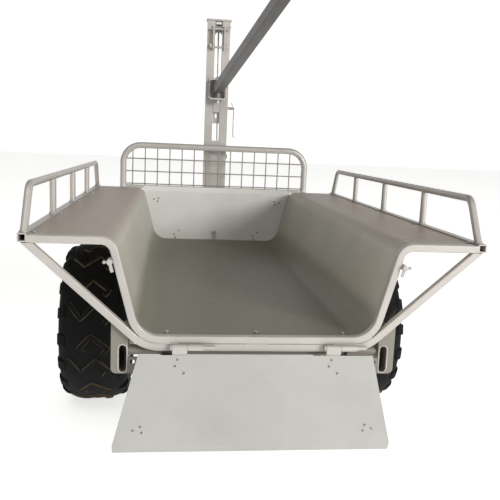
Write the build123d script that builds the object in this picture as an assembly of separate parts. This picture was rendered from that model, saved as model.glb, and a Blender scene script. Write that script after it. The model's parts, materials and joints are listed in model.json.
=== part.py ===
from build123d import *
import os
from math import atan2, cos, degrees, hypot, pi, radians, sin, tan

# Tow behind cart with a drop tailgate, a folding front gate and a small loading crane.
# Millimetres, +Z up, +Y towards the tow coupling, +X to the right when seen from behind.
# Pieces are placed from the rear face of the bed (y = 0) and the ground (z = 0), and are
# moved at the end so that y = 0 lies midway between the tailgate and the coupling.

# ---- driving dimensions -------------------------------------------------------------
# bed
bed_length = 1660
shelf_height = 722
floor_height = 469
shelf_half_width = 602
opening_half_width = 368
floor_half_width = 302
shelf_bend = 45
floor_bend = 65
sheet = 2.5
# end frames and their V braces, square tube
frame_tube = 20
frame_wall = 2.5
frame_corner = 3
brace_foot = 291
brace_head = 580
# lengthwise side tubes and side rails
side_tube = 22
side_tube_wall = 3
side_tube_rise = 4
rail_tube = 20
rail_wall = 2
rail_height = 117
rail_end = 19
rail_lean = 68
rail_bend = 38
rail_bays = 4
# front guard
guard_gap = 237
guard_tube = 32
guard_wall = 2.5
guard_half_width = 485
guard_height = 204
guard_arm_drop = 40
guard_rail = 20
guard_rail_drop = 14
guard_bend = 92
guard_arm_bend = 36
wire = 6
wire_sink = 0.8
mesh_columns = 14
mesh_column_pitch = 64.5
mesh_first_column = -436
mesh_rows = 3
mesh_row_pitch = 66
mesh_first_row = 134
# gates, hinges and turn latches
gate_sheet = 2
gate_gap = 0.5
gate_lap = 6
gate_edge_drop = 8
gate_panel = 245
gate_flange = 26
gate_flange_angle = 25
clip_width = 22
hinge_drop = 26
hinge_knuckle = 9
hinge_pin = 5
hinge_standoff = 1
hinge_spacing = 201
leaf_width = 38
leaf_thickness = 4
leaf_reach = 78
barrel_length = 41
barrel_gap = 1
pin_overhang = 28
rivet = 3
rivet_head = 5
rivet_head_height = 1.5
latch_height = 191
latch_boss = 7.5
latch_offset = 7
latch_pin = 4
latch_finger_length = 26
latch_finger_width = 8
latch_finger_thickness = 4
latch_knob = 4.5
# rear corner sockets
socket_bore_width = 22
socket_bore_height = 75
socket_wall = 3
socket_length = 215
socket_offset = 347
socket_height = 402.5
socket_lip = 3
socket_lip_land = 14
pin_hole = 6.5
# chassis
cross_tube = 27
cross_tube_height = 421
rail_offset = 230
chassis_rail_width = 40
chassis_rail_height = 50
chassis_wall = 3
rib_width = 30
member_width = 40
drawbar = 60
drawbar_wall = 4
drawbar_tail = 280
drawbar_nose = 1040
# wheels
track_half = 484
wheel_station = 781
tyre_radius = 290
tyre_width = 250
rim_radius = 152
rim_width = 200
rim_wall = 3
rim_flange = 14
axle_beam = 50
axle_beam_half = 300
stub_radius = 15
bearing_outer = 26
bearing_width = 16
hub_length = 98
hub_wall = 8
wheel_disc = 4
stud_circle = 55
stud_count = 4
stud = 6
nut_across = 19
# crane
mast_gap = 90
upright_width = 40
upright_depth = 50
upright_wall = 4
upright_space = 40
mast_top = 1590
post_top = 966
bolt_height = 882
mast_plate = 8
cap_overhang = 6
sheave_groove = 22
sheave_flange = 30
sheave_width = 34
sheave_pin = 6
cage_pin = 5.5
rope = 3
rope_fit = 0.4
carriage_height = 1233
bracket_width = 94
bracket_height = 108
bracket_wall = 8
bracket_depth = 70
bracket_corner = 18
cheek_setback = 40
jib_pin = 10
jib_pin_setback = 50
jib_tube = 48
jib_wall = 3
jib_length = 1400
jib_lift = 16
jib_swing = 10
slider_clearance = 1.5
keeper_plate = 6
keeper_clearance = 1
lever_height = 1141
lever_rod = 3
lever_stub = 7
lever_travel = 18
# winch
winch_height = 610
winch_reach = 54
drum_core = 18
drum_flange = 42
drum_half = 34
ratchet_teeth = 16
ratchet_depth = 6
ratchet_thickness = 5
winch_plate = 4
winch_half = 44
crank_radius = 140
grip_radius = 14
grip_length = 90
rope_lead = 20
pawl_engaged = 207.6
pawl_lift = 22
# parking leg and coupling
leg_gap = 463
leg_tube = 40
leg_pivot_drop = 32
leg_pin = 7
foot_size = 120
foot_thickness = 8
coupling_shaft = 15
coupling_bore = 10.15
coupling_ear = 12
coupling_mouth = 30
coupling_reach = 90
# running clearance of pins and shafts, on the radius
running = 0.05

# ---- values that follow from the driving dimensions ----------------------------------
half_tube = frame_tube / 2
wall_run = opening_half_width - floor_half_width
wall_rise = shelf_height - floor_height
wall_slope = wall_run / wall_rise
corner_shift = (hypot(wall_run, wall_rise) - wall_run) / wall_rise
frame_underside = floor_height - frame_tube
brace_underside = frame_underside - frame_tube
shelf_underside = shelf_height - frame_tube
side_tube_top = shelf_height + side_tube_rise
side_centre = shelf_half_width - side_tube / 2
guard_y = bed_length + guard_gap
guard_top = shelf_height + guard_height
guard_arm_z = shelf_height - guard_arm_drop
guard_rail_z = shelf_height - guard_rail_drop
hinge_y = -half_tube - hinge_standoff - hinge_knuckle
hinge_z = floor_height - hinge_drop
mast_y = guard_y + mast_gap
mast_rear = mast_y - upright_depth / 2
mast_front = mast_y + upright_depth / 2
mast_half = upright_space / 2 + upright_width
axle_z = tyre_radius
chassis_rail_top = floor_height - sheet - 19.5
chassis_rail_bottom = chassis_rail_top - chassis_rail_height
drawbar_top = chassis_rail_bottom
drawbar_bottom = drawbar_top - drawbar
drawbar_front = bed_length + drawbar_nose
leg_station = mast_y + leg_gap
member_stations = (320, wheel_station, 1200, bed_length - 80)
nodes = {}


def block(x, y, z):
    """Box between a low and a high value on each axis."""
    size = Box(x[1] - x[0], y[1] - y[0], z[1] - z[0])
    return Pos((x[0] + x[1]) / 2, (y[0] + y[1]) / 2, (z[0] + z[1]) / 2) * size


def rod(start, end, radius, bore=0):
    """Round bar or tube between two points."""
    along = Vector(*end) - Vector(*start)
    plane = Plane(origin=start, z_dir=along)
    section = plane * Circle(radius)
    if bore:
        section -= plane * Circle(bore)
    return extrude(section, amount=along.length)


def bent_tube(path, radius, wall=0):
    """Round bar or tube that follows a path."""
    start = Plane(origin=path @ 0, z_dir=path % 0)
    solid = sweep(start * Circle(radius), path=path)
    if wall:
        solid -= sweep(start * Circle(radius - wall), path=path)
    return solid


def bent_square_tube(path, size, wall, corner):
    """Square tube that follows a path lying in an XZ plane."""
    start = Plane(origin=path @ 0, x_dir=(0, 1, 0), z_dir=path % 0)
    outer = sweep(start * RectangleRounded(size, size, corner), path=path)
    inside = size - 2 * wall
    return outer - sweep(start * RectangleRounded(inside, inside, corner / 2), path=path)


def square_tube(x, y, z, wall, along):
    """Straight rectangular tube, open at both ends of the named axis."""
    spans = [x, y, z]
    inner = [(low + wall, high - wall) for low, high in spans]
    inner[along] = spans[along]
    return block(*spans) - block(*inner)


def plate(points, y, thickness, fillets=0):
    """Flat plate with an outline in XZ, from y to y + thickness."""
    outline = [(px, y, pz) for px, pz in points]
    if fillets:
        edge = FilletPolyline(*outline, radius=fillets, close=True)
    else:
        edge = Polyline(*outline, close=True)
    return extrude(make_face(edge), amount=thickness, dir=(0, 1, 0))


def turned(points, centre_x):
    """Solid of revolution about the wheel axis from (offset along X, radius) points."""
    outline = [(centre_x + px, wheel_station, axle_z + radius) for px, radius in points]
    axis = Axis((0, wheel_station, axle_z), (1, 0, 0))
    return revolve(make_face(Polyline(*outline, close=True)), axis=axis)


def hexagon(centre, across, height, direction):
    """Hexagonal nut or bolt head standing on a point."""
    plane = Plane(origin=centre, z_dir=direction)
    return extrude(plane * RegularPolygon(across / 2, 6, major_radius=False), amount=height)


def mirrored(shape):
    """Copy of a piece on the other side of the cart."""
    return mirror(shape, about=Plane.YZ)


def at_front(shape):
    """Copy of a rear piece at the front end of the bed."""
    return mirror(shape, about=Plane(origin=(0, bed_length / 2, 0), z_dir=(0, 1, 0)))


# ---- tub: one formed sheet, shelf - wall - floor - wall - shelf ------------------------
def section_path(depth, reach, y=0):
    """Line of the bed's cross-section, a given depth below its upper surface."""
    upper = opening_half_width + corner_shift * depth
    lower = floor_half_width + corner_shift * depth
    side = [(reach, shelf_height - depth), (upper, shelf_height - depth), (lower, floor_height - depth)]
    points = [(-px, y, pz) for px, pz in side] + [(px, y, pz) for px, pz in reversed(side)]
    bends = [shelf_bend - depth, floor_bend + depth, floor_bend + depth, shelf_bend - depth]
    return FilletPolyline(*points, radius=bends)


def section_hollow(depth, reach):
    """Space above the section line, as long as the sheet."""
    line = section_path(depth, reach, half_tube)
    head = shelf_height + 2 * shelf_bend
    lid = Polyline(line @ 1, (reach, half_tube, head), (-reach, half_tube, head), line @ 0)
    return extrude(make_face(line + lid), amount=bed_length - frame_tube, dir=(0, 1, 0))


sheet_reach = shelf_half_width - side_tube
nodes["tub_shell"] = section_hollow(sheet, sheet_reach) - section_hollow(0, sheet_reach)

# ---- end frames and V braces -----------------------------------------------------------
rear_frame = bent_square_tube(section_path(half_tube, sheet_reach), frame_tube, frame_wall, frame_corner)
nodes["rear_end_frame"] = rear_frame
frame_solid = sweep(
    Plane(origin=section_path(half_tube, sheet_reach) @ 0, x_dir=(0, 1, 0), z_dir=(1, 0, 0))
    * RectangleRounded(frame_tube, frame_tube, frame_corner),
    path=section_path(half_tube, sheet_reach),
)

brace_z = brace_underside + half_tube
brace_rise = (shelf_underside - brace_z) / (brace_head - brace_foot)
brace_over = brace_head + frame_tube
brace_over_z = shelf_underside + frame_tube * brace_rise
brace_path = FilletPolyline(
    (-brace_over, 0, brace_over_z),
    (-brace_foot, 0, brace_z),
    (brace_foot, 0, brace_z),
    (brace_over, 0, brace_over_z),
    radius=100,
)
brace_stop = min(shelf_underside, side_tube_top - side_tube)
above_shelf = block(
    (-2 * shelf_half_width, 2 * shelf_half_width),
    (-frame_tube, frame_tube),
    (brace_stop, shelf_height + 2 * shelf_bend),
)
rear_brace = bent_square_tube(brace_path, frame_tube, frame_wall, frame_corner) - above_shelf
nodes["rear_brace_tube"] = rear_brace
nodes["front_end_frame"] = at_front(rear_frame)
nodes["front_brace_tube"] = at_front(rear_brace)

# ---- side tubes and side rails -----------------------------------------------------------
bed_ends = (-half_tube, bed_length + half_tube)
side_x = (shelf_half_width - side_tube, shelf_half_width)
side_z = (side_tube_top - side_tube, side_tube_top)
right_side_tube = square_tube(side_x, bed_ends, side_z, side_tube_wall, 1)
nodes["side_tubes"] = [right_side_tube, mirrored(right_side_tube)]

rail_top = shelf_height + rail_height
rail_path = FilletPolyline(
    (side_centre, rail_end - rail_lean / 8, side_tube_top - rail_height / 8),
    (side_centre, rail_end + rail_lean, rail_top),
    (side_centre, bed_length - rail_end - rail_lean, rail_top),
    (side_centre, bed_length - rail_end + rail_lean / 8, side_tube_top - rail_height / 8),
    radius=rail_bend,
)
under_rail = block(
    (side_centre - rail_tube, side_centre + rail_tube),
    (-rail_tube, bed_length + rail_tube),
    (side_tube_top - rail_height, side_tube_top),
)
rail_hoop = bent_tube(rail_path, rail_tube / 2, rail_wall) - under_rail
rail_hoop_solid = bent_tube(rail_path, rail_tube / 2)
rail_bay = (bed_length - 2 * rail_end) / rail_bays
right_rail = [rail_hoop]
for bay in range(1, rail_bays):
    post_y = rail_end + bay * rail_bay
    foot = (side_centre, post_y, side_tube_top)
    post = rod(foot, (side_centre, post_y, rail_top), rail_tube / 2, rail_tube / 2 - rail_wall)
    right_rail.append(post - rail_hoop_solid)
nodes["side_rail_right"] = right_rail
nodes["side_rail_left"] = [mirrored(piece) for piece in right_rail]

# ---- front guard: bent hoop and welded wire mesh -------------------------------------------
guard_path = FilletPolyline(
    (-guard_half_width, bed_length + half_tube, guard_arm_z),
    (-guard_half_width, guard_y, guard_arm_z),
    (-guard_half_width, guard_y, guard_top),
    (guard_half_width, guard_y, guard_top),
    (guard_half_width, guard_y, guard_arm_z),
    (guard_half_width, bed_length + half_tube, guard_arm_z),
    radius=[guard_arm_bend, guard_bend, guard_bend, guard_arm_bend],
)
nodes["guard_hoop"] = bent_tube(guard_path, guard_tube / 2, guard_wall)
guard_solid = bent_tube(guard_path, guard_tube / 2)
bottom_ends = [(-guard_half_width, guard_y, guard_rail_z), (guard_half_width, guard_y, guard_rail_z)]
bottom_solid = rod(*bottom_ends, guard_rail / 2)
bottom_rail = bottom_solid - rod(*bottom_ends, guard_rail / 2 - rail_wall) - guard_solid
nodes["guard_hoop"] = [nodes["guard_hoop"], max(bottom_rail.solids(), key=lambda piece: piece.volume)]
wire_offset = (wire - wire_sink) / 2
wires = []
for column in range(mesh_columns):
    wire_x = mesh_first_column + column * mesh_column_pitch
    foot = (wire_x, guard_y - wire_offset, guard_rail_z)
    wires.append(rod(foot, (wire_x, guard_y - wire_offset, guard_top), wire / 2))
for row in range(mesh_rows):
    wire_z = shelf_height + mesh_first_row - row * mesh_row_pitch
    end = (guard_half_width, guard_y + wire_offset, wire_z)
    wires.append(rod((-guard_half_width, guard_y + wire_offset, wire_z), end, wire / 2))
mesh = wires[0].fuse(*wires[1:])
nodes["guard_mesh"] = mesh - guard_solid - bottom_solid

# ---- gates: sheet panel, hinge leaves, rivets ----------------------------------------------
# Each piece is built on the closed rear gate. The tailgate hangs open, turned half a turn
# about its hinge, and the front gate is the same gate closed at the front end.
gate_inner = -half_tube - gate_gap
gate_outer = gate_inner - gate_sheet
gate_low = floor_height - gate_edge_drop
gate_high = gate_low + gate_panel


def gate_half_width(z):
    """Half width of the gate panel at a height."""
    return floor_half_width + (z - floor_height) * wall_slope + gate_lap


def hung_open(shape):
    """Half a turn about the rear hinge pin."""
    return Pos(0, hinge_y, hinge_z) * Rot(180, 0, 0) * Pos(0, -hinge_y, -hinge_z) * shape


low_half = gate_half_width(gate_low)
high_half = gate_half_width(gate_high)
panel = plate(
    [(-low_half, gate_low), (low_half, gate_low), (high_half, gate_high), (-high_half, gate_high)],
    gate_outer,
    gate_sheet,
)
flange_out = gate_flange * sin(radians(gate_flange_angle))
flange_up = gate_flange * cos(radians(gate_flange_angle))
flange_line = Polyline(
    (-high_half, gate_inner, gate_high),
    (-high_half, gate_outer, gate_high),
    (-high_half, gate_outer - flange_out, gate_high + flange_up),
    (-high_half, gate_inner - flange_out, gate_high + flange_up),
    close=True,
)
panel += extrude(make_face(flange_line), amount=2 * high_half, dir=(1, 0, 0))

leaves = []
for centre in (-hinge_spacing, hinge_spacing):
    leaf_x = (centre - leaf_width / 2, centre + leaf_width / 2)
    leaf = block(leaf_x, (gate_outer - leaf_thickness, gate_outer), (hinge_z, hinge_z + leaf_reach))
    ends = [(px, hinge_y, hinge_z) for px in leaf_x]
    leaf = (leaf + rod(*ends, hinge_knuckle)) - rod(*ends, hinge_pin + running)
    leaves.append(leaf)

rivet_spots = []
for side in (-1, 1):
    for offset, rise in ((-0.15, 30), (-0.3, 47), (0.3, 66)):
        rivet_spots.append((side * hinge_spacing + offset * leaf_width, hinge_z + rise, leaf_thickness))
    corner_x = side * (high_half - 66)
    for offset, rise in ((-side * 10, -36), (side * 13, -42), (-side * 6, -52)):
        rivet_spots.append((corner_x + offset, gate_high + rise, 0))
rivets = []
holes = []
for rivet_x, rivet_z, grip in rivet_spots:
    inside = (rivet_x, gate_inner, rivet_z)
    outside = (rivet_x, gate_outer - grip, rivet_z)
    head = rod((rivet_x, gate_inner + gate_gap * 0.8, rivet_z), inside, rivet_head)
    tail_end = (rivet_x, gate_outer - grip - rivet_head_height, rivet_z)
    rivets.append(rod(inside, outside, rivet) + head + rod(outside, tail_end, rivet_head))
    holes.append(rod(inside, outside, rivet))
for hole in holes:
    panel -= hole
leaves = [leaf - holes[0].fuse(*holes[1:]) for leaf in leaves]

nodes["tailgate_panel"] = hung_open(panel)
nodes["tailgate_hinges"] = [hung_open(piece) for piece in leaves + rivets]
nodes["front_gate_panel"] = at_front(panel)
clip_z = (floor_height + 2, floor_height + 44)
clip = block((-clip_width / 2, clip_width / 2), (gate_inner, gate_inner + 3), clip_z)
clip_curl = (gate_inner + 5, floor_height + 37)
clip += rod((-clip_width / 2, *clip_curl), (clip_width / 2, *clip_curl), 5)
clip = Pos(-10, 0, 0) * clip
nodes["front_gate_hinges"] = [at_front(piece) for piece in leaves + rivets + [clip]]

# fixed hinge barrels welded to the brace tube, beside each leaf, and their pins
barrels = []
pins = []
for centre in (-hinge_spacing, hinge_spacing):
    start = centre + leaf_width / 2 + barrel_gap
    ends = [(start, hinge_y, hinge_z), (start + barrel_length, hinge_y, hinge_z)]
    foot_z = (hinge_z - hinge_knuckle / 2, hinge_z + hinge_knuckle / 2)
    foot = block((start, start + barrel_length), (hinge_y, -half_tube), foot_z)
    barrels.append(rod(*ends, hinge_knuckle) + foot - rod(*ends, hinge_pin))
    left = centre - leaf_width / 2 - barrel_gap
    shank = rod((left, hinge_y, hinge_z), (ends[1][0] + pin_overhang, hinge_y, hinge_z), hinge_pin)
    pins.append(shank + rod((left, hinge_y, hinge_z), (left - 4, hinge_y, hinge_z), hinge_knuckle - 1))
nodes["hinge_barrels"] = barrels + [at_front(piece) for piece in barrels]
nodes["hinge_barrels"] += pins + [at_front(piece) for piece in pins]

# ---- turn latches on the outer side of each end frame -----------------------------------------
latch_z = floor_height + latch_height
frame_outer_x = floor_half_width + corner_shift * frame_tube + (latch_z - frame_underside) * wall_slope
latch_x = frame_outer_x + latch_offset
finger_back = gate_outer - 2.5
finger_front = finger_back - latch_finger_thickness
boss_front = finger_back + 0.5
pin_front = finger_front - 0.5
latch_boss_solid = rod((latch_x, half_tube, latch_z), (latch_x, boss_front, latch_z), latch_boss)
latch_boss_solid -= frame_solid
latch_boss_solid += rod((latch_x, boss_front, latch_z), (latch_x, pin_front, latch_z), latch_pin)
latch_boss_solid += rod((latch_x, pin_front, latch_z), (latch_x, pin_front - 3, latch_z), latch_pin + 3)
right_bosses = [latch_boss_solid, at_front(latch_boss_solid)]
nodes["latch_bosses"] = right_bosses + [mirrored(piece) for piece in right_bosses]

latch_rest = degrees(atan2(wall_run, wall_rise))
latch_half = latch_finger_width / 2
finger = block((-latch_half, latch_half), (finger_front, finger_back), (-latch_finger_length, 0))
finger += rod((0, finger_front, 0), (0, finger_back, 0), latch_half + 2)
grip_middle = (finger_front + finger_back) / 2
finger += rod((latch_half, grip_middle, 3), (latch_half + 9, grip_middle, 3), latch_finger_thickness / 2)
finger += Pos(latch_half + 9, grip_middle, 3) * Sphere(latch_knob)
finger -= rod((0, finger_front - 1, 0), (0, finger_back + 1, 0), latch_pin + running)
right_latch = Pos(latch_x, 0, latch_z) * Rot(0, latch_rest, 0) * finger
nodes["latch_rear_right"] = right_latch
nodes["latch_rear_left"] = mirrored(right_latch)
nodes["latch_front_right"] = at_front(right_latch)
nodes["latch_front_left"] = at_front(mirrored(right_latch))

# ---- rear corner sockets: flat oval tube behind a lipped plate ---------------------------------
gusset_outer = socket_offset + socket_bore_width / 2 + socket_wall + socket_lip_land + 2
gusset_inner = socket_offset - socket_bore_width / 2 - 33
gusset_foot = socket_height - socket_bore_height / 2 - socket_lip
socket_side = socket_offset - socket_bore_width / 2 - socket_wall
cross_low = cross_tube_height - cross_tube / 2


def brace_line(px):
    """Height of the brace's centre line at a distance from the middle."""
    return brace_z + (px - brace_foot) * brace_rise


gusset = plate(
    [
        (gusset_outer, gusset_foot),
        (gusset_outer, brace_line(gusset_outer)),
        (socket_side, brace_line(socket_side)),
        (socket_side, cross_low - 1),
        (gusset_inner, cross_low - 1),
        (gusset_inner, gusset_foot),
    ],
    half_tube,
    socket_wall + 2,
    fillets=[socket_lip_land, 0, 0, 0, 3, 12],
)
socket_start = half_tube + socket_wall + 2
socket_plane = Plane(origin=(socket_offset, half_tube, socket_height), x_dir=(1, 0, 0), z_dir=(0, 1, 0))
bore_shape = RectangleRounded(socket_bore_width, socket_bore_height, socket_bore_width / 2 - 0.1)
outer_width = socket_bore_width + 2 * socket_wall
outer_shape = RectangleRounded(outer_width, socket_bore_height + 2 * socket_wall, outer_width / 2 - 0.1)
bore = extrude(socket_plane * bore_shape, amount=socket_length + 2 * socket_wall)
socket_back = socket_plane.offset(socket_wall + 2)
socket = extrude(socket_back * outer_shape, amount=socket_length)
hole_spot = (gusset_inner + 19, half_tube, cross_low - 14)
hole_end = (hole_spot[0], socket_start, hole_spot[2])
right_socket = socket + gusset - bore - rod(hole_spot, hole_end, pin_hole)
nodes["rear_sockets"] = [right_socket, mirrored(right_socket)]

# ---- chassis: cross tube, rails, cross members, floor ribs, drawbar ------------------------------
cross_y = socket_start + 1.5 + cross_tube / 2
cross_ends = [(-socket_side, cross_y, cross_tube_height), (socket_side, cross_y, cross_tube_height)]
nodes["rear_cross_tube"] = rod(*cross_ends, cross_tube / 2, cross_tube / 2 - chassis_wall)
cross_solid = rod(*cross_ends, cross_tube / 2)

rail_z = (chassis_rail_bottom, chassis_rail_top)
rail_x = (rail_offset - chassis_rail_width / 2, rail_offset + chassis_rail_width / 2)
right_rail_tube = square_tube(rail_x, (half_tube, bed_length - half_tube), rail_z, chassis_wall, 1)
right_rail_tube -= cross_solid
nodes["chassis_rails"] = [right_rail_tube, mirrored(right_rail_tube)]

member_x = (-rail_x[0], rail_x[0])
rib_half = floor_half_width - floor_bend / 3
rib_z = (chassis_rail_top, floor_height - sheet)
members = []
ribs = []
for station in member_stations:
    member_y = (station - member_width / 2, station + member_width / 2)
    members.append(square_tube(member_x, member_y, rail_z, chassis_wall, 0))
    rib_y = (station - rib_width / 2, station + rib_width / 2)
    rib = block((-rib_half, rib_half), rib_y, rib_z) - section_hollow(sheet, sheet_reach)
    ribs.append(rib)
nodes["cross_members"] = members + ribs

drawbar_x = (-drawbar / 2, drawbar / 2)
drawbar_y = (drawbar_tail, drawbar_front)
bar = square_tube(drawbar_x, drawbar_y, (drawbar_bottom, drawbar_top), drawbar_wall, 1)
coupling_z = (drawbar_bottom + drawbar_top) / 2
inner = drawbar / 2 - drawbar_wall
plug_y = (drawbar_front - 80, drawbar_front)
plug_z = (coupling_z - inner, coupling_z + inner)
shaft_line = [(0, plug_y[0], coupling_z), (0, drawbar_front, coupling_z)]
bar += block((-inner, inner), plug_y, plug_z) - rod(*shaft_line, coupling_shaft + running)
nodes["drawbar_tube"] = bar

# ---- axle, hubs and wheels ----------------------------------------------------------------------
beam_y = (wheel_station - axle_beam / 2, wheel_station + axle_beam / 2)
beam_z = (axle_z - axle_beam / 2, axle_z + axle_beam / 2)
beam_x = (-axle_beam_half, axle_beam_half)
beam = square_tube(beam_x, beam_y, beam_z, chassis_wall, 0)
riser_y = (wheel_station - member_width / 2, wheel_station + member_width / 2)
risers = []
for side in (-1, 1):
    riser_x = (side * rail_offset - axle_beam / 2, side * rail_offset + axle_beam / 2)
    risers.append(square_tube(riser_x, riser_y, (beam_z[1], chassis_rail_bottom), chassis_wall, 2))
risers.append(square_tube(drawbar_x, riser_y, (beam_z[1], drawbar_bottom), chassis_wall, 2))
nodes["axle_beam"] = [beam] + risers

hub_start = track_half - 111
hub_end = hub_start + hub_length
inner_bearing = hub_start + 2
outer_bearing = hub_end - 2 - bearing_width
hub_outer = bearing_outer + hub_wall
disc_x = hub_end - 22
cap_end = hub_end + 26
stub = turned(
    [
        (0, 0),
        (0, stub_radius + 7),
        (inner_bearing - 1 - axle_beam_half, stub_radius + 7),
        (inner_bearing - 1 - axle_beam_half, stub_radius),
        (cap_end - 8 - axle_beam_half, stub_radius),
        (cap_end - 8 - axle_beam_half, 0),
    ],
    axle_beam_half,
)
nut_x = outer_bearing + bearing_width + 1
stub_nut = hexagon((nut_x, wheel_station, axle_z), 42, 12, (1, 0, 0))
stub_nut -= rod((nut_x, wheel_station, axle_z), (nut_x + 12, wheel_station, axle_z), stub_radius)
nodes["stub_axles"] = [stub, stub_nut, mirrored(stub), mirrored(stub_nut)]

hub = turned(
    [
        (0, bearing_outer),
        (0, hub_outer),
        (disc_x - 10 - hub_start, hub_outer),
        (disc_x - 10 - hub_start, stud_circle + 17),
        (disc_x - hub_start, stud_circle + 17),
        (disc_x - hub_start, hub_outer),
        (hub_length, hub_outer),
        (hub_length + 2, hub_outer - 4),
        (cap_end - 6 - hub_start, hub_outer - 4),
        (cap_end - hub_start, hub_outer - 10),
        (cap_end - hub_start, 0),
        (cap_end - 4 - hub_start, 0),
        (cap_end - 4 - hub_start, bearing_outer - 2),
        (hub_length, bearing_outer),
    ],
    hub_start,
)
wheel_nuts = []
stud_holes = []
for index in range(stud_count):
    turn = pi / stud_count + index * 2 * pi / stud_count
    stud_y = wheel_station + stud_circle * cos(turn)
    stud_z = axle_z + stud_circle * sin(turn)
    stud_bar = rod((disc_x, stud_y, stud_z), (disc_x + 24, stud_y, stud_z), stud)
    hub += stud_bar
    wheel_nut = hexagon((disc_x + wheel_disc, stud_y, stud_z), nut_across, 11, (1, 0, 0))
    wheel_nuts.append(wheel_nut - stud_bar)
    hole_ends = [(disc_x - 1, stud_y, stud_z), (disc_x + wheel_disc + 1, stud_y, stud_z)]
    stud_holes.append(rod(*hole_ends, stud + 0.5))

bearings = []
for start in (inner_bearing, outer_bearing):
    ring = [(0, stub_radius + running), (0, bearing_outer), (bearing_width, bearing_outer)]
    ring.append((bearing_width, stub_radius + running))
    bearings.append(turned(ring, start))

half_rim = rim_width / 2
disc_offset = disc_x - track_half
inside_rim = rim_radius - rim_wall
rim = turned(
    [
        (-half_rim - rim_wall, inside_rim),
        (-half_rim - rim_wall, rim_radius + rim_flange),
        (-half_rim, rim_radius + rim_flange),
        (-half_rim, rim_radius),
        (half_rim, rim_radius),
        (half_rim, rim_radius + rim_flange),
        (half_rim + rim_wall, rim_radius + rim_flange),
        (half_rim + rim_wall, inside_rim),
        (disc_offset + 26, inside_rim),
        (disc_offset + wheel_disc, stud_circle + 20),
        (disc_offset + wheel_disc, hub_outer + 1),
        (disc_offset, hub_outer + 1),
        (disc_offset, stud_circle + 21),
        (disc_offset + 20, inside_rim),
    ],
    track_half,
)
rim -= stud_holes[0].fuse(*stud_holes[1:])

bead = rim_radius + rim_flange + 1
bulge = tyre_width / 2
shoulder = bulge - 14
crown = tyre_radius
casing = 13


def tyre_loop(inset):
    """Half of the tyre's outline from the bead to the crown, a distance inside the surface."""
    return [
        (-half_rim - 2 + inset * 1.2, bead + inset * 0.4),
        (-bulge + 8 + inset, bead + 18),
        (-bulge + inset, bead + 44),
        (-bulge + 3 + inset, crown - 52),
        (-shoulder + inset, crown - 26 - inset / 3),
        (-shoulder + 26 + inset / 2, crown - 9 - inset),
        (-shoulder * 0.35, crown - 1.5 - inset),
    ]


outside = [(-half_rim, rim_radius), (-half_rim, bead)] + tyre_loop(0) + [(0, crown)]
inside = [(-half_rim + casing, rim_radius)] + tyre_loop(casing) + [(0, crown - casing)]
outer_line = outside + [(-px, radius) for px, radius in reversed(outside[:-1])]
inner_line = inside + [(-px, radius) for px, radius in reversed(inside[:-1])]
tyre = turned(outer_line + list(reversed(inner_line)), track_half)
nodes["hub_right"] = [hub] + wheel_nuts
nodes["hub_left"] = [mirrored(piece) for piece in nodes["hub_right"]]
nodes["bearings_right"] = bearings
nodes["bearings_left"] = [mirrored(piece) for piece in bearings]
nodes["rim_right"] = rim
nodes["rim_left"] = mirrored(rim)
nodes["tyre_right"] = tyre
nodes["tyre_left"] = mirrored(tyre)

# ---- mast: two uprights on a clamped base, inner post, cap, stay -----------------------------------
base_y = (mast_rear - 35, mast_front + 35)
base_half = mast_half + 20
base_top = drawbar_top + mast_plate
mast_base = [
    block((-base_half, base_half), base_y, (drawbar_top, base_top)),
    block((-base_half, base_half), base_y, (drawbar_bottom - mast_plate, drawbar_bottom)),
]
bolt_x = drawbar / 2 + 14
clamp_bolts = []
for px in (-bolt_x, bolt_x):
    for py in (base_y[0] + 14, base_y[1] - 14):
        shank = rod((px, py, drawbar_bottom - mast_plate - 16), (px, py, base_top), 6)
        mast_base[0] -= shank
        mast_base[1] -= shank
        head = hexagon((px, py, base_top), nut_across, 8, (0, 0, 1))
        nut = hexagon((px, py, drawbar_bottom - mast_plate - 10), nut_across, 10, (0, 0, 1))
        clamp_bolts.append(shank + head + nut)

upright_x = (upright_space / 2, mast_half)
upright_y = (mast_rear, mast_front)
upright = square_tube(upright_x, upright_y, (base_top, mast_top), upright_wall, 2)
left_upright = mirrored(upright)
lever_line = [(upright_space / 2, mast_y, lever_height), (mast_half, mast_y, lever_height)]
right_upright = upright - rod(*lever_line, lever_stub + running)
post_bolt = hexagon((mast_half, mast_y, bolt_height), nut_across, 8, (1, 0, 0))
nodes["mast_uprights"] = [left_upright, right_upright, post_bolt]
post_half = upright_space / 2
post_y = (mast_rear + 2, mast_front - 2)
nodes["mast_post"] = square_tube((-post_half, post_half), post_y, (base_top, post_top), upright_wall, 2)
cap_x = (-mast_half - cap_overhang, mast_half + cap_overhang)
cap_y = (mast_rear - cap_overhang, mast_front + cap_overhang)
nodes["mast_cap"] = block(cap_x, cap_y, (mast_top, mast_top + mast_plate))

stay_top = (0, mast_front - 30, winch_height - 120)
stay_foot = (0, leg_station - 130, drawbar_top - 30)
stay = rod(stay_foot, stay_top, cross_tube / 2, cross_tube / 2 - chassis_wall)
stay -= block((-base_half, base_half), (0, mast_front), (0, mast_top))
stay -= block((-base_half, base_half), (0, drawbar_front), (0, drawbar_top))
nodes["mast_base"] = mast_base + clamp_bolts + [stay]

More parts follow.
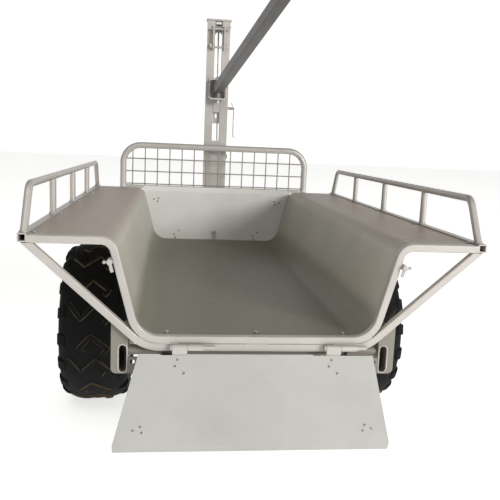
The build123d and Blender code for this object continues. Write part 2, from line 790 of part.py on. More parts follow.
# ---- sheave: grooved roller under the cap, cage with two pins on the mast's rear face ----------------
sheave_y = mast_front - 9
sheave_z = mast_top - sheave_flange - 4
groove_half = sheave_width / 2 - 4
sheave_axis = [(-sheave_width / 2, sheave_y, sheave_z), (sheave_width / 2, sheave_y, sheave_z)]
groove_axis = [(-groove_half, sheave_y, sheave_z), (groove_half, sheave_y, sheave_z)]
sheave = rod(*sheave_axis, sheave_flange)
sheave -= rod(*groove_axis, sheave_flange + 1) - rod(*groove_axis, sheave_groove)
nodes["sheave"] = sheave - rod(*sheave_axis, sheave_pin + running)
sheave_axle = rod((-post_half, sheave_y, sheave_z), (post_half, sheave_y, sheave_z), sheave_pin)

cage_y = (mast_rear - 32, mast_rear)
cage_low = 1440
cage_high = mast_top - 30
upper_pin_z = 1545
lower_pin_z = 1452
cage_pin_y = mast_rear - 20
cage = [sheave_axle]
for side in (-1, 1):
    cage_x = sorted((side * 26, side * 32))
    cage.append(block(cage_x, cage_y, (cage_low, cage_high)))
for pin_z, pin_half in ((upper_pin_z, 54), (lower_pin_z, 40)):
    bar_line = [(-pin_half, cage_pin_y, pin_z), (pin_half, cage_pin_y, pin_z)]
    pin_bar = rod(*bar_line, cage_pin)
    cage[1] -= pin_bar
    cage[2] -= pin_bar
    for corner, out in ((bar_line[0], -5), (bar_line[1], 5)):
        tip = (corner[0] + out, corner[1], corner[2] + 15)
        pin_bar += Pos(*corner) * Sphere(cage_pin) + rod(corner, tip, cage_pin)
    cage.append(pin_bar)
nodes["sheave_cage"] = cage

# ---- hoist rope: off the drum, up the front, over the sheave, down to the carriage -------------------
rope_turn = sheave_groove + rope + rope_fit
winch_y = mast_front + winch_reach
drum_turn = drum_core + rope
front_top = (0, sheave_y + rope_turn, sheave_z)
front_foot = (rope_lead, winch_y - drum_turn - rope_fit, winch_height)
back_top = (0, sheave_y - rope_turn, sheave_z)
over_sheave = ThreePointArc(front_top, (0, sheave_y, sheave_z + rope_turn), back_top)
rope_up = rod(front_foot, front_top, rope)
rope_over = sweep(Plane(origin=front_top, z_dir=(0, 0, 1)) * Circle(rope), path=over_sheave)
nodes["hoist_rope_front"] = [rope_up - rope_over, rope_over]
slider_top = carriage_height + bracket_height / 2 + 3
drop_y = sheave_y - rope_turn
nodes["hoist_rope_drop"] = rod((0, drop_y, slider_top), (0, drop_y, sheave_z), rope)

# ---- carriage: slider between the uprights, rear bracket for the jib, front keeper --------------------
bracket_low = carriage_height - bracket_height / 2
bracket_high = carriage_height + bracket_height / 2
slider_half = upright_space / 2 - slider_clearance
plate_back = mast_rear - keeper_clearance
plate_y = (plate_back - keeper_plate, plate_back)
front_keeper_y = (mast_front + keeper_clearance, mast_front + keeper_clearance + keeper_plate)
slider_bottom = bracket_low - 63
slider = block((-slider_half, slider_half), (plate_back, front_keeper_y[0]), (slider_bottom, slider_top))
lug_half = slider_half - slider_clearance
lug = block((-lug_half, lug_half), (mast_y - 4, mast_y + 4), (slider_bottom - 58, slider_bottom))
slot_plane = Plane(origin=(0, mast_y - 5, slider_bottom - 18), x_dir=(1, 0, 0), z_dir=(0, 1, 0))
lug -= extrude(slot_plane * RectangleRounded(12, 26, 5.9), amount=10)
lock_hole = [(-slider_half, mast_y, lever_height), (slider_half, mast_y, lever_height)]
nodes["carriage_slider"] = slider + lug - rod(*lock_hole, lever_stub + 1)

bracket_half = bracket_width / 2
ring_plane = Plane(
    origin=(0, plate_y[0] - bracket_depth, carriage_height), x_dir=(1, 0, 0), z_dir=(0, 1, 0)
)
ring_outer = RectangleRounded(bracket_width, bracket_height, bracket_corner)
ring_inner = RectangleRounded(
    bracket_width - 2 * bracket_wall, bracket_height - 2 * bracket_wall, bracket_corner - bracket_wall
)
bracket = extrude(ring_plane * (ring_outer - ring_inner), amount=bracket_depth)
mouth_y = (plate_y[0] - bracket_depth, plate_y[0] - bracket_depth + cheek_setback)
mouth_z = (bracket_low + bracket_wall + 4, bracket_high - bracket_wall - 4)
bracket -= block((-bracket_half, bracket_half), mouth_y, mouth_z)
bracket += block((-bracket_half, bracket_half), plate_y, (bracket_low - 9, slider_top + 6))
pin_y = plate_y[0] - jib_pin_setback
bracket -= rod((0, pin_y, bracket_low), (0, pin_y, bracket_high), jib_pin)
nodes["carriage_bracket"] = bracket

keeper = block((-bracket_half, bracket_half), front_keeper_y, (slider_bottom + 14, slider_top))
for side in (-1, 1):
    for bolt_z in (slider_bottom + 40, slider_top - 25):
        keeper += hexagon((side * 10, front_keeper_y[1], bolt_z), 13, 5, (0, 1, 0))
nodes["carriage_keeper"] = keeper

pin_head = [(0, pin_y, bracket_high), (0, pin_y, bracket_high + 6)]
pin_foot = (0, pin_y, bracket_low - 14)
nodes["jib_pin"] = rod(pin_foot, pin_head[0], jib_pin) + rod(*pin_head, jib_pin + 5)

# ---- jib arm, swung and raised, with a vertical bush at its root and a hook at its tip -----------------
jib_place = Pos(0, pin_y, carriage_height) * Rot(0, 0, jib_swing) * Rot(-jib_lift, 0, 0)
jib_section = RectangleRounded(jib_tube, jib_tube, 4) - RectangleRounded(
    jib_tube - 2 * jib_wall, jib_tube - 2 * jib_wall, 2
)
root_y = jib_tube / 2 - 2
arm_plane = Plane(origin=(0, root_y, 0), x_dir=(1, 0, 0), z_dir=(0, -1, 0))
arm = extrude(arm_plane * jib_section, amount=jib_length + root_y)
end_cap = arm_plane.offset(jib_length + root_y) * RectangleRounded(jib_tube, jib_tube, 4)
arm += extrude(end_cap, amount=4)
hook_y = -jib_length + 30
hook_z = -jib_tube / 2 - 26
for side in (-1, 1):
    ear = block(sorted((side * 9, side * 15)), (hook_y - 18, hook_y + 18), (hook_z - 16, -jib_tube / 2))
    arm += ear
arm += rod((-20, hook_y, hook_z), (20, hook_y, hook_z), 6)
bush_half = bracket_height / 2 - bracket_wall - 0.4
bush_line = [(0, pin_y, carriage_height - bush_half), (0, pin_y, carriage_height + bush_half)]
jib_arm = jib_place * arm + rod(*bush_line, jib_pin + 7)
nodes["jib_arm"] = jib_arm - rod(*bush_line, jib_pin + running)

hook_centre = (jib_place * Pos(0, hook_y, hook_z)).position
hook_line = FilletPolyline((0, 0, -10), (0, 0, -30), (0, -26, -50), (0, -26, -68), radius=14)
hook_line += ThreePointArc((0, -26, -68), (0, 0, -94), (0, 26, -68))
hook = sweep(Plane(origin=(0, 0, -10), z_dir=(0, 0, -1)) * Circle(6.5), path=hook_line)
hook += Pos(0, 26, -68) * Sphere(6.5)
hook += rod((-8, 0, 0), (8, 0, 0), 17)
hook -= rod((-9, 0, 0), (9, 0, 0), 6 + running)
hook_weight = hook.center(CenterOf.MASS)
hook_lean = degrees(atan2(-hook_weight.Y, -hook_weight.Z))
nodes["jib_hook"] = Pos(*hook_centre) * Rot(0, 0, jib_swing) * Rot(hook_lean, 0, 0) * hook

# ---- locking lever: cross stub in the right upright with a bent rod handle ---------------------------
lever_x = mast_half + 36
stub_bar = rod((upright_space / 2 + 1, mast_y, lever_height), (lever_x, mast_y, lever_height), lever_stub)
lever_path = FilletPolyline(
    (mast_half + lever_travel + 4, mast_y, lever_height + 30),
    (lever_x, mast_y, lever_height),
    (lever_x, mast_y, lever_height - 146),
    (lever_x + 8, mast_y, lever_height - 154),
    radius=[8, 4],
)
nodes["lock_lever"] = stub_bar + bent_tube(lever_path, lever_rod)

# ---- winch: frame, drum with ratchet wheel, crank, pawl, rope on the drum ----------------------------
side_inner = winch_half - winch_plate
frame_y = (mast_front, mast_front + winch_plate)
winch_frame = block((-winch_half, winch_half), frame_y, (winch_height - 50, winch_height + 85))
shaft_radius = 8
shaft_line = [(-winch_half - 8, winch_y, winch_height), (winch_half + 30, winch_y, winch_height)]
pawl_y = winch_y + 30
pawl_z = winch_height + 52
for side in (-1, 1):
    cheek_x = sorted((side * side_inner, side * winch_half))
    winch_frame += block(cheek_x, (frame_y[1], winch_y + 38), (winch_height - 38, winch_height + 70))
winch_frame -= rod(*shaft_line, shaft_radius + running)
pawl_pin = 4
pawl_line = [(side_inner - 10, pawl_y, pawl_z), (side_inner, pawl_y, pawl_z)]
winch_frame += rod(*pawl_line, pawl_pin)
nodes["winch_frame"] = winch_frame

core_line = [(-drum_half, winch_y, winch_height), (drum_half, winch_y, winch_height)]
left_flange = [(-drum_half - 3, winch_y, winch_height), (-drum_half, winch_y, winch_height)]
drum = rod(*core_line, drum_core) + rod(*left_flange, drum_flange) + rod(*shaft_line, shaft_radius)
tooth_points = []
tooth_turn = 2 * pi / ratchet_teeth
for tooth in range(ratchet_teeth):
    for radius, lag in ((drum_flange, 0.0), (drum_flange - ratchet_depth, 0.94)):
        angle = (tooth + lag) * tooth_turn
        tooth_points.append((drum_half, winch_y + radius * cos(angle), winch_height + radius * sin(angle)))
wheel_edge = Polyline(*tooth_points, close=True)
drum += extrude(make_face(wheel_edge), amount=ratchet_thickness, dir=(1, 0, 0))
nodes["winch_drum"] = drum

coil_end = rope_lead - rope - 2
coil_line = [(-drum_half, winch_y, winch_height), (coil_end, winch_y, winch_height)]
nodes["hoist_rope_coil"] = rod(*coil_line, drum_core + 2 * rope, drum_core)

crank_x = (winch_half + 20, winch_half + 28)
crank_foot = winch_height - crank_radius
crank = block(crank_x, (winch_y - 12, winch_y + 12), (crank_foot, winch_height))
crank += rod((crank_x[0], winch_y, winch_height), (crank_x[1], winch_y, winch_height), 16)
crank += rod((crank_x[0], winch_y, crank_foot), (crank_x[1], winch_y, crank_foot), 12)
crank -= rod(*shaft_line, shaft_radius)
grip_start = crank_x[1]
crank += rod((grip_start, winch_y, crank_foot), (grip_start + grip_length + 8, winch_y, crank_foot), 6)
nodes["winch_crank"] = crank
grip_line = [(grip_start + 3, winch_y, crank_foot), (grip_start + 3 + grip_length, winch_y, crank_foot)]
nodes["winch_grip"] = rod(*grip_line, grip_radius, 6)

pawl_turn = radians(pawl_engaged - pawl_lift)
pawl_outline = []
for along, across in ((0, -5), (12, -5), (20, -3), (32, -0.2), (30.4, 3.5), (20, 5), (0, 5)):
    tooth_y = pawl_y + along * cos(pawl_turn) + across * sin(pawl_turn)
    tooth_z = pawl_z + along * sin(pawl_turn) - across * cos(pawl_turn)
    pawl_outline.append((drum_half, tooth_y, tooth_z))
pawl_edge = Polyline(*pawl_outline, close=True)
pawl = extrude(make_face(pawl_edge), amount=ratchet_thickness, dir=(1, 0, 0))
pawl_hole = [(drum_half, pawl_y, pawl_z), (drum_half + ratchet_thickness, pawl_y, pawl_z)]
pawl += rod(*pawl_hole, 8)
nodes["winch_pawl"] = pawl - rod(*pawl_hole, pawl_pin + running)

# ---- parking leg: folding tube with a foot, on a bracket under the drawbar ----------------------------
leg_half = leg_tube / 2
pivot_z = drawbar_bottom - leg_pivot_drop
bracket_pieces = []
for side in (-1, 1):
    cheek_x = sorted((side * (leg_half + 1), side * (leg_half + 7)))
    cheek = block(cheek_x, (leg_station - 32, leg_station + 32), (pivot_z - 22, drawbar_bottom))
    bracket_pieces.append(cheek - rod((-60, leg_station, pivot_z), (60, leg_station, pivot_z), leg_pin))
leg_bar = rod((-leg_half - 14, leg_station, pivot_z), (leg_half + 14, leg_station, pivot_z), leg_pin)
nodes["leg_bracket"] = bracket_pieces + [leg_bar]
leg_y = (leg_station - leg_half, leg_station + leg_half)
leg_top = pivot_z + leg_half
leg = square_tube((-leg_half, leg_half), leg_y, (foot_thickness, leg_top), chassis_wall, 2)
foot_y = (leg_station - foot_size / 2 + 10, leg_station + foot_size / 2 + 10)
leg += block((-foot_size / 2, foot_size / 2), foot_y, (0, foot_thickness))
leg += rod((-leg_half, leg_station, pivot_z), (leg_half, leg_station, pivot_z), leg_pin + 5)
leg -= rod((-leg_half - 1, leg_station, pivot_z), (leg_half + 1, leg_station, pivot_z), leg_pin + running)
nodes["parking_leg"] = leg

# ---- coupling: swivelling clevis on a shaft in the drawbar's nose ------------------------------------
ear_half = coupling_mouth / 2 + coupling_ear
clevis_y = (drawbar_front + 8, drawbar_front + coupling_reach)
coupling_y = clevis_y[1]
clevis = block((-drawbar / 2, drawbar / 2), clevis_y, (coupling_z - ear_half, coupling_z + ear_half))
ear_ends = [(0, coupling_y, coupling_z - ear_half), (0, coupling_y, coupling_z + ear_half)]
clevis += rod(*ear_ends, drawbar / 2)
mouth_back = drawbar_front + 34
mouth_y = (mouth_back, coupling_y + drawbar / 2)
mouth_z = (coupling_z - coupling_mouth / 2, coupling_z + coupling_mouth / 2)
clevis -= block((-drawbar / 2, drawbar / 2), mouth_y, mouth_z)
clevis -= rod(*ear_ends, coupling_bore)
clevis += rod((0, drawbar_front + 1, coupling_z), (0, clevis_y[0], coupling_z), coupling_shaft + 8)
clevis += rod((0, drawbar_front - 76, coupling_z), (0, drawbar_front + 1, coupling_z), coupling_shaft)
nodes["coupling_clevis"] = clevis

# ---- small bolts through the sheet: floor at the rear edge, shelves by the rail posts ------------------
bolts = []
for share in (-0.78, 0, 0.78):
    spot = (share * floor_half_width, 28, floor_height)
    bolts.append(rod(spot, (spot[0], 28, floor_height + 3), 6))
for side in (-1, 1):
    for bay in range(rail_bays):
        bolt_y = rail_end + 20 + bay * rail_bay
        spot = (side * (sheet_reach - 10), bolt_y, shelf_height)
        bolts.append(rod(spot, (spot[0], bolt_y, shelf_height + 3), 6))
nodes["sheet_bolts"] = bolts

# ---- origin midway along the cart, then one file for each node -----------------------------------------
rear_reach = 2 * hinge_y - gate_inner - gate_gap * 0.8
front_reach = coupling_y + drawbar / 2
middle_y = (rear_reach + front_reach) / 2
shift = Pos(0, -middle_y, 0)


def main():
    """Write every node's STEP file."""
    os.makedirs("parts", exist_ok=True)
    for name, pieces in nodes.items():
        group = pieces if isinstance(pieces, list) else [pieces]
        solids = [solid for piece in group for solid in (shift * piece).solids()]
        export_step(Compound(solids), f"parts/{name}.step")
    print(len(nodes), "nodes, middle_y", middle_y)


main()
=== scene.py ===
"""Tow behind cart: stepped sheet bed on a tube frame, drop tailgate, wire guard and loading crane.

Sections follow the cart as it is put together, from the bed outwards. Metres, +Z up, and +Y
points to the coupling.
"""
import json
import bmesh
import bpy
import numpy as np
from mathutils import Matrix, Vector


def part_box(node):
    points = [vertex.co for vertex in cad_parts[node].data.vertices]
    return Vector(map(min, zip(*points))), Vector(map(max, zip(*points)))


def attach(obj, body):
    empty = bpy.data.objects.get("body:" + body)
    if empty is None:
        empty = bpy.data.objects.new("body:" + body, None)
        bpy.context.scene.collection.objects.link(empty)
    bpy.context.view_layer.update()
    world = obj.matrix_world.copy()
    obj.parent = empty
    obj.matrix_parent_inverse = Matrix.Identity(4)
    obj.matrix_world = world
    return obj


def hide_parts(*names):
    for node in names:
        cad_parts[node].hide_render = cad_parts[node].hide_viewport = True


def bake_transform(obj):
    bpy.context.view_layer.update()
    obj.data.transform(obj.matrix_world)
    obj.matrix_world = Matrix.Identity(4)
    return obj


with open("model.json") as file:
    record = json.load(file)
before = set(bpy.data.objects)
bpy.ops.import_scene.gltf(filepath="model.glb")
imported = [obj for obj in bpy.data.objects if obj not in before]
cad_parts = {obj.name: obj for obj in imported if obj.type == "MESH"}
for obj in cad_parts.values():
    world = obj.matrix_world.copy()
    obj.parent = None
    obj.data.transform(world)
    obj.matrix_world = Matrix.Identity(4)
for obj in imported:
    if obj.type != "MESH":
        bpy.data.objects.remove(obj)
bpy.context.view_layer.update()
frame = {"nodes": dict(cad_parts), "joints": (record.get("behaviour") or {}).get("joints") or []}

nodes = frame["nodes"]
joint_at = {joint["name"]: joint for joint in frame["joints"]}


# ==== view, floor and light ===================================================================
# The cart stands on a plain pale floor under soft light. The viewer stands behind the
# tailgate, a little to the left, at about chest height.
bed_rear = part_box("rear_end_frame")[0].y + 0.010
eye = Vector((-0.2326, bed_rear - 1.6349, 0.9686))
yaw, pitch, roll = np.radians((7.1, -9.4, 2.5))
ahead = Vector((np.sin(yaw) * np.cos(pitch), np.cos(yaw) * np.cos(pitch), np.sin(pitch)))
level = Vector((np.cos(yaw), -np.sin(yaw), 0.0))
above = level.cross(ahead)
right = np.cos(roll) * level + np.sin(roll) * above
up = np.cos(roll) * above - np.sin(roll) * level
viewer = bpy.data.cameras.new("viewer")
viewer.sensor_width = 36.0
viewer.lens = 47.08
viewer.clip_start, viewer.clip_end = 0.05, 100.0
viewer_stand = bpy.data.objects.new("viewer", viewer)
turn = Matrix((right, up, -ahead)).transposed().to_4x4()
viewer_stand.matrix_world = Matrix.Translation(eye) @ turn
bpy.context.scene.collection.objects.link(viewer_stand)
bpy.context.scene.camera = viewer_stand


def linear(hex_colour):
    """sRGB hex text to linear RGBA: each channel over 255, with its gamma curve undone."""
    channels = np.array([int(hex_colour[i:i + 2], 16) for i in (1, 3, 5)]) / 255.0
    low, high = channels / 12.92, ((channels + 0.055) / 1.055) ** 2.4
    return (*np.where(channels <= 0.04045, low, high).tolist(), 1.0)


def add(tree, kind, inputs=None, **settings):
    """Adds a shader node, sets its properties, and fills or links its inputs by name."""
    made = tree.nodes.new(kind)
    for name, value in settings.items():
        setattr(made, name, value)
    for name, value in (inputs or {}).items():
        if isinstance(value, bpy.types.NodeSocket):
            tree.links.new(value, made.inputs[name])
        else:
            made.inputs[name].default_value = value
    return made


def shape(name, points, faces, finish, smooth_under=35.0):
    """A mesh object at the origin from point and face rows, facing out.

    Edges flatter than the given angle in degrees are shaded smooth.
    """
    mesh = bpy.data.meshes.new(name)
    mesh.from_pydata(np.asarray(points, float).tolist(), [], np.asarray(faces, int).tolist())
    skin = bmesh.new()
    skin.from_mesh(mesh)
    bmesh.ops.recalc_face_normals(skin, faces=skin.faces)
    skin.to_mesh(mesh)
    skin.free()
    mesh.materials.append(finish)
    mesh.shade_smooth()
    mesh.set_sharp_from_angle(angle=np.radians(smooth_under))
    made = bpy.data.objects.new(name, mesh)
    bpy.context.scene.collection.objects.link(made)
    return made


def mottled(name, scale, detail, dark, light, dark_at=0.0, light_at=1.0, rough=0.5):
    """A material whose base colour runs from dark to light with a noise in object space.

    Gives the material, its node tree, its shader, the place, the noise's value and the colour.
    """
    made = bpy.data.materials.new(name)
    made.use_nodes = True
    tree = made.node_tree
    shader = tree.nodes["Principled BSDF"]
    place = add(tree, "ShaderNodeTexCoord").outputs["Object"]
    noise = add(tree, "ShaderNodeTexNoise", {"Vector": place, "Scale": scale, "Detail": detail,
                                             "Roughness": rough}).outputs["Fac"]
    ramp = add(tree, "ShaderNodeValToRGB", {"Fac": noise})
    ends = ramp.color_ramp.elements
    ends[0].color, ends[0].position = linear(dark), dark_at
    ends[1].color, ends[1].position = linear(light), light_at
    tree.links.new(ramp.outputs["Color"], shader.inputs["Base Color"])
    return made, tree, shader, place, noise, ramp.outputs["Color"]


# matt floor paint, pale and almost even, with a faint glow like a lit studio sweep
floor_paint, tree, shader, _, _, pale = mottled("pale floor paint", 0.7, 3.0, "#f2f2f0", "#f8f8f7")
tree.links.new(pale, shader.inputs["Emission Color"])
shader.inputs["Emission Strength"].default_value = 0.78
shader.inputs["Roughness"].default_value = 0.9
floor_reach = 30.0
corners = [(x, y, 0.0) for y in (-floor_reach, floor_reach) for x in (-floor_reach, floor_reach)]
floor = shape("floor", corners, [(0, 2, 3, 1)], floor_paint)

# studio walls: a white wall beyond the coupling, and grey ones elsewhere that are darker
# overhead and on the left, so that the light comes mostly from the coupling's end and the right
world = bpy.data.worlds.new("studio")
bpy.context.scene.world = world
world.use_nodes = True
tree = world.node_tree
sky = add(tree, "ShaderNodeTexCoord")
toward = add(tree, "ShaderNodeSeparateXYZ", {"Vector": sky.outputs["Generated"]})
sideways = add(tree, "ShaderNodeMapRange", {
    "Value": toward.outputs["X"], "From Min": -0.8, "From Max": 0.8,
    "To Min": 0.20, "To Max": 0.50})
overhead = add(tree, "ShaderNodeMapRange", {
    "Value": toward.outputs["Z"], "From Min": 0.15, "From Max": 0.75,
    "To Min": 1.0, "To Max": 0.30})
walls = add(tree, "ShaderNodeMath", {0: sideways.outputs["Result"], 1: overhead.outputs["Result"]},
            operation="MULTIPLY")
white_wall = add(tree, "ShaderNodeMapRange", {
    "Value": toward.outputs["Y"], "From Min": 0.74, "From Max": 0.86},
    interpolation_type="SMOOTHSTEP")
level_of = add(tree, "ShaderNodeMix", {
    0: white_wall.outputs["Result"], 2: walls.outputs["Value"], 3: 1.05}, data_type="FLOAT")
tree.links.new(level_of.outputs[0], tree.nodes["Background"].inputs["Strength"])
tree.nodes["Background"].inputs["Color"].default_value = (1.0, 0.995, 0.985, 1.0)


def lamp(name, place, target, size, watts):
    """A square soft light at a place, facing a target."""
    light = bpy.data.lights.new(name, "AREA")
    light.size = size
    light.energy = watts
    holder = bpy.data.objects.new(name, light)
    aim = (Vector(target) - Vector(place)).to_track_quat("-Z", "Y").to_matrix().to_4x4()
    holder.matrix_world = Matrix.Translation(Vector(place)) @ aim
    bpy.context.scene.collection.objects.link(holder)


lamp("key light", (12.0, -16.0, 6.0), (0.0, -0.6, 0.6), 5.5, 3250.0)
lamp("fill light", (-1.5, -3.5, 4.5), (0.0, -0.6, 0.5), 2.5, 60.0)
bpy.context.scene.view_settings.view_transform = "Standard"


# ==== bed sheet ===============================================================================
# One sheet of 2.5 mm mild steel, folded into shelf, wall, floor, wall and shelf, and
# sprayed with silver-grey enamel. Warm dust and a painted reflection lie on the shelves, and the
# floor is coloured a darker olive.
def enamel(name, colour, dust_and_reflection, dust_and_reflection_share, roughness, metallic=0.25, low_tone=None):
    """Silver enamel on steel: a fine orange peel, cloudy tone, and dusting with a painted
    reflection on level faces.

    Tone is the colour times a slow noise from 0.90 to 1.06. Dusting and a painted reflection of
    the surroundings mix in where the normal points up, broken by a second noise. The peel is a
    noise bump with a 3 mm grain, over shallow dents that follow the slow noise. A low tone, if
    given, is a colour and a low and a high level: it is nearly full at the low level and fades out
    at the high one.
    """
    paint = bpy.data.materials.new(name)
    paint.use_nodes = True
    tree = paint.node_tree
    shader = tree.nodes["Principled BSDF"]
    place = add(tree, "ShaderNodeTexCoord")
    spot = place.outputs["Object"]
    cloud = add(tree, "ShaderNodeTexNoise", {
        "Vector": spot, "Scale": 4.0, "Detail": 5.0, "Roughness": 0.6})
    patch = add(tree, "ShaderNodeTexNoise", {
        "Vector": spot, "Scale": 38.0, "Detail": 4.0, "Roughness": 0.65})
    tone = add(tree, "ShaderNodeMapRange", {
        "Value": cloud.outputs["Fac"], "From Min": 0.3, "From Max": 0.7,
        "To Min": 0.90, "To Max": 1.06})
    tinted = add(tree, "ShaderNodeMix", data_type="RGBA", blend_type="MULTIPLY")
    tinted.inputs[0].default_value = 1.0
    tinted.inputs[6].default_value = linear(colour)
    tree.links.new(tone.outputs["Result"], tinted.inputs[7])
    # up-facing faces take the second colour: dust, and a painted reflection of the surroundings
    facing = add(tree, "ShaderNodeNewGeometry")
    lift = add(tree, "ShaderNodeSeparateXYZ", {"Vector": facing.outputs["Normal"]})
    level_face = add(tree, "ShaderNodeMapRange", {
        "Value": lift.outputs["Z"], "From Min": 0.35, "From Max": 0.95})
    broken = add(tree, "ShaderNodeMapRange", {
        "Value": patch.outputs["Fac"], "From Min": 0.3, "From Max": 0.7,
        "To Min": 0.88, "To Max": 1.0})
    dust_and_reflection_mask = add(tree, "ShaderNodeMath", {
        0: level_face.outputs["Result"], 1: broken.outputs["Result"]}, operation="MULTIPLY")
    share = add(tree, "ShaderNodeMath", {0: dust_and_reflection_mask.outputs["Value"], 1: dust_and_reflection_share},
                operation="MULTIPLY")
    dusty = add(tree, "ShaderNodeMix", data_type="RGBA")
    tree.links.new(share.outputs["Value"], dusty.inputs[0])
    tree.links.new(tinted.outputs[2], dusty.inputs[6])
    dusty.inputs[7].default_value = linear(dust_and_reflection)
    coat = dusty.outputs[2]
    # a darker olive colour near the bottom: full at the low level, gone at the high one
    if low_tone:
        low_tone_colour, full_at, gone_at = low_tone
        where = add(tree, "ShaderNodeSeparateXYZ", {"Vector": spot})
        depth = add(tree, "ShaderNodeMapRange", {
            "Value": where.outputs["Z"], "From Min": full_at, "From Max": gone_at,
            "To Min": 0.92, "To Max": 0.0}, interpolation_type="SMOOTHSTEP")
        low_toned = add(tree, "ShaderNodeMix", {0: depth.outputs["Result"]}, data_type="RGBA")
        tree.links.new(coat, low_toned.inputs[6])
        low_toned.inputs[7].default_value = linear(low_tone_colour)
        coat = low_toned.outputs[2]
    tree.links.new(coat, shader.inputs["Base Color"])
    gloss = add(tree, "ShaderNodeMapRange", {
        "Value": patch.outputs["Fac"], "From Min": 0.3, "From Max": 0.7,
        "To Min": roughness - 0.02, "To Max": roughness + 0.04})
    tree.links.new(gloss.outputs["Result"], shader.inputs["Roughness"])
    shader.inputs["Metallic"].default_value = metallic
    peel = add(tree, "ShaderNodeTexNoise", {"Vector": spot, "Scale": 330.0, "Detail": 2.0})
    bump = add(tree, "ShaderNodeBump", {
        "Height": peel.outputs["Fac"], "Strength": 0.06, "Distance": 0.0004})
    dent = add(tree, "ShaderNodeBump", {
        "Height": cloud.outputs["Fac"], "Strength": 0.05, "Distance": 0.004,
        "Normal": bump.outputs["Normal"]})
    tree.links.new(dent.outputs["Normal"], shader.inputs["Normal"])
    return paint


def wear(finish, *names):
    """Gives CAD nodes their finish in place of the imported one."""
    for name in names:
        materials = nodes[name].data.materials
        materials.clear()
        materials.append(finish)


floor_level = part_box("tub_shell")[0].z
# the bed floor is coloured a darker olive, fading out 10 cm up
bed_enamel = enamel("silver-grey bed enamel", "#bdb8ab", "#968474", 0.9, 0.46, 0.15,
                    ("#6b6b59", floor_level + 0.004, floor_level + 0.10))
wear(bed_enamel, "tub_shell")

# ==== end frames, braces, side tubes and rails ================================================
# Square and round mild steel tube, bent, sawn and welded, with the same silver enamel and
# less dust and painted reflection on its upper faces than the bed has.
frame_enamel = enamel("silver tube enamel", "#b2ada7", "#978f86", 0.3, 0.38, 0.2)

wear(frame_enamel, "rear_end_frame", "front_end_frame", "rear_brace_tube", "front_brace_tube",
     "side_tubes", "side_rail_left", "side_rail_right")

# ==== front guard =============================================================================
# A bent tube hoop on two arms, with 6 mm wires welded across it and over its lower rail. The
# wires are painted darker than the tube.
wear(frame_enamel, "guard_hoop")
darker_wire_enamel = enamel("darker wire enamel", "#8a877f", "#7b756a", 0.4, 0.45, 0.15)
wear(darker_wire_enamel, "guard_mesh")

# ==== tailgate and front gate =================================================================
# 2 mm sheet with one folded edge, hung on leaf hinges. The front gate's enamel is painted lighter
# than the tailgate's, as painted light at the far end of the bed, which the lamps light less.
gate_enamel = enamel("silver gate enamel", "#a6a5a0", "#98948c", 0.4, 0.42, 0.2)
wear(gate_enamel, "tailgate_panel")
# lighter copy of the gate enamel: painted light for the front gate, which gets less lamp light
headboard_lightened_enamel = enamel("gate enamel painted lighter", "#d2d1cb", "#a9a59c", 0.3, 0.42, 0.1)
wear(headboard_lightened_enamel, "front_gate_panel")

# ==== hinges, latches, bolts and other bright hardware ========================================
# Turned and stamped steel with zinc plating, dulled by handling. The hinges, latches and
# carriage are painted over with the frame.
zinc, tree, shader, _, bloom, _ = mottled(
    "zinc plated steel", 120.0, 5.0, "#8d8f8f", "#c4c5c3", 0.3, 0.7)
dull = add(tree, "ShaderNodeMapRange", {"Value": bloom, "To Min": 0.28, "To Max": 0.55})
tree.links.new(dull.outputs["Result"], shader.inputs["Roughness"])
shader.inputs["Metallic"].default_value = 0.9
grain = add(tree, "ShaderNodeBump", {"Height": bloom, "Strength": 0.15, "Distance": 0.0003})
tree.links.new(grain.outputs["Normal"], shader.inputs["Normal"])
wear(zinc, "sheet_bolts", "stub_axles", "hub_right", "hub_left", "jib_pin", "lock_lever",
     "winch_drum", "winch_crank", "winch_pawl", "sheave", "coupling_clevis", "bearings_right",
     "bearings_left")
wear(frame_enamel, "tailgate_hinges", "front_gate_hinges", "hinge_barrels", "latch_bosses",
     "latch_rear_right", "latch_rear_left", "latch_front_right", "latch_front_left",
     "carriage_slider")

# ==== rivets ==================================================================================
# Rivet heads of darker plain steel on the inner face of each gate: three through each hinge
# leaf, and three near each upper corner.
dark_steel, _, shader, _, _, _ = mottled("dark rivet steel", 240.0, 3.0, "#56564f", "#8b8a83")
shader.inputs["Roughness"].default_value = 0.5
shader.inputs["Metallic"].default_value = 0.4


def grid_faces(rows, columns, wrap_rows=False, wrap_columns=False):
    """Quads of a rows x columns grid of points, with either direction closed on itself."""
    r = np.arange(rows if wrap_rows else rows - 1)
    c = np.arange(columns if wrap_columns else columns - 1)
    a, b = np.meshgrid(r, c, indexing="ij")
    a2, b2 = (a + 1) % rows, (b + 1) % columns
    corners = (a * columns + b, a * columns + b2, a2 * columns + b2, a2 * columns + b)
    return np.stack(corners, axis=-1).reshape(-1, 4)


def joined(parts):
    """Point and face rows of several shapes in one pair of arrays."""
    counts = np.cumsum([0] + [len(points) for points, _ in parts[:-1]])
    points = np.concatenate([points for points, _ in parts])
    faces = np.concatenate([np.asarray(faces) + start for start, (_, faces) in zip(counts, parts)])
    return points, faces


def rivet_cap(centre, radius=0.0036, height=0.0014):
    """A low dome facing -Y, closed at both ends.

    Its rings stand at radius r cos(t) and height h sin(t), for t from 0 towards a quarter turn.
    """
    lift = np.linspace(0, np.pi / 2, 5)[:-1]
    turns = np.linspace(0, 2 * np.pi, 13)[:-1]
    x = radius * np.cos(lift)[:, None] * np.cos(turns)
    z = radius * np.cos(lift)[:, None] * np.sin(turns)
    y = np.broadcast_to(-height * np.sin(lift)[:, None], x.shape)
    points = np.stack([x, y, z], axis=-1).reshape(-1, 3) + centre
    cap = np.array([[36, 36 + i, 37 + i, 38 + i] for i in range(1, 10, 2)])
    return points, np.concatenate([grid_faces(4, 12, False, True), cap, cap - 36])


